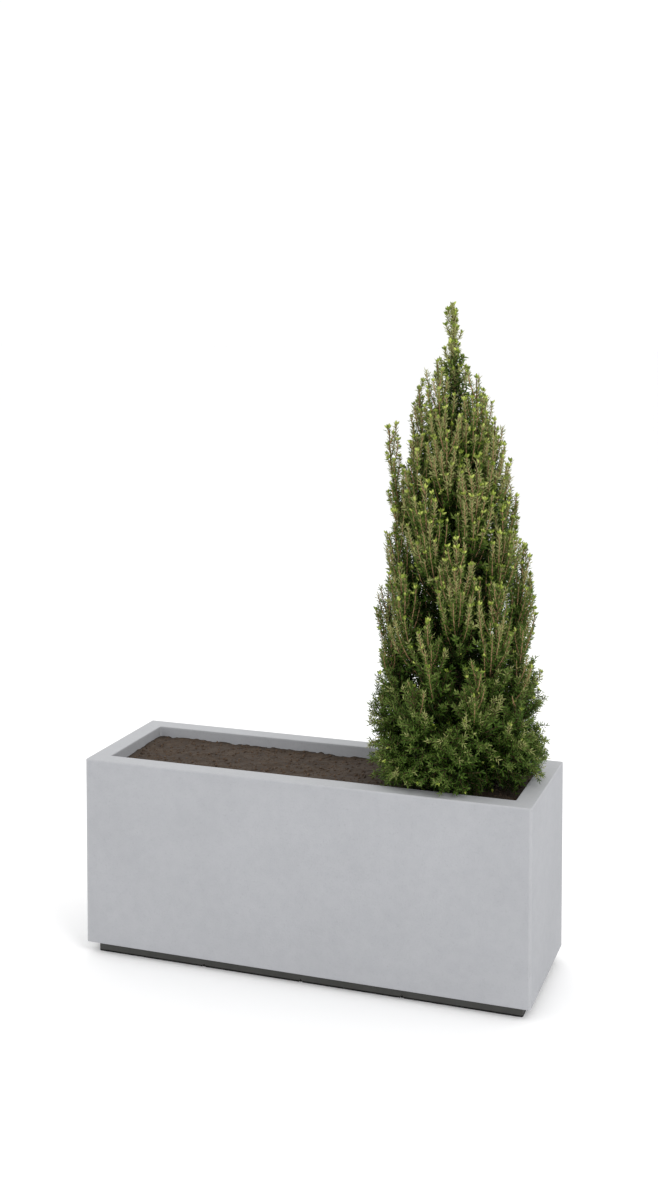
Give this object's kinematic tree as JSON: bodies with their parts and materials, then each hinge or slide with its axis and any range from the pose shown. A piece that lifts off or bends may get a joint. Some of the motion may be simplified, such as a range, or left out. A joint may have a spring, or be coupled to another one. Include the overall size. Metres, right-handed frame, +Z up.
{
  "type": "dwarf spruce cone in a long planter",
  "caption": "Dwarf spruce with a narrow cone crown of upright plumes, growing at one end of a long plain fibre-cement planter on a recessed dark plinth.",
  "frame": {"origin": "middle of the plinth's flat underside, at the level the planter stands on", "axes": "+X along the planter towards the end where the spruce grows, +Y to the back, +Z up"},
  "size_m": [1.2056, 0.474, 1.728],
  "materials": {
    "planter_shell": "matte, finely pitted",
    "plinth_plastic": "matte",
    "potting_soil": "rough, crumbly",
    "bark": "scaly bark",
    "needles": "satin needles"
  },
  "bodies": {
    "root": {"planter": "planter_shell", "plinth": "plinth_plastic", "soil": "potting_soil", "trunk": "bark", "bough_01": "bark", "bough_02": "bark", "bough_03": "bark", "bough_04": "bark", "bough_05": "bark", "bough_06": "bark", "bough_07": "bark", "bough_08": "bark", "bough_09": "bark", "bough_10": "bark", "plume_01": "needles", "plume_02": "needles", "plume_03": "needles", "plume_04": "needles", "plume_05": "needles", "plume_06": "needles", "plume_07": "needles", "plume_08": "needles", "plume_09": "needles", "plume_10": "needles", "plume_11": "needles", "plume_12": "needles", "plume_13": "needles", "plume_14": "needles", "plume_15": "needles", "plume_16": "needles", "plume_17": "needles", "plume_18": "needles", "plume_19": "needles", "plume_20": "needles", "plume_21": "needles", "plume_22": "needles", "plume_23": "needles", "plume_24": "needles", "plume_25": "needles", "plume_26": "needles", "plume_27": "needles", "plume_28": "needles", "plume_29": "needles", "plume_30": "needles", "plume_31": "needles", "plume_32": "needles", "plume_33": "needles", "plume_34": "needles", "plume_35": "needles", "plume_36": "needles", "plume_37": "needles", "plume_38": "needles", "plume_39": "needles", "plume_40": "needles", "plume_41": "needles", "plume_42": "needles", "plume_43": "needles", "plume_44": "needles", "plume_45": "needles", "leader": "needles"}
  },
  "joints": []
}
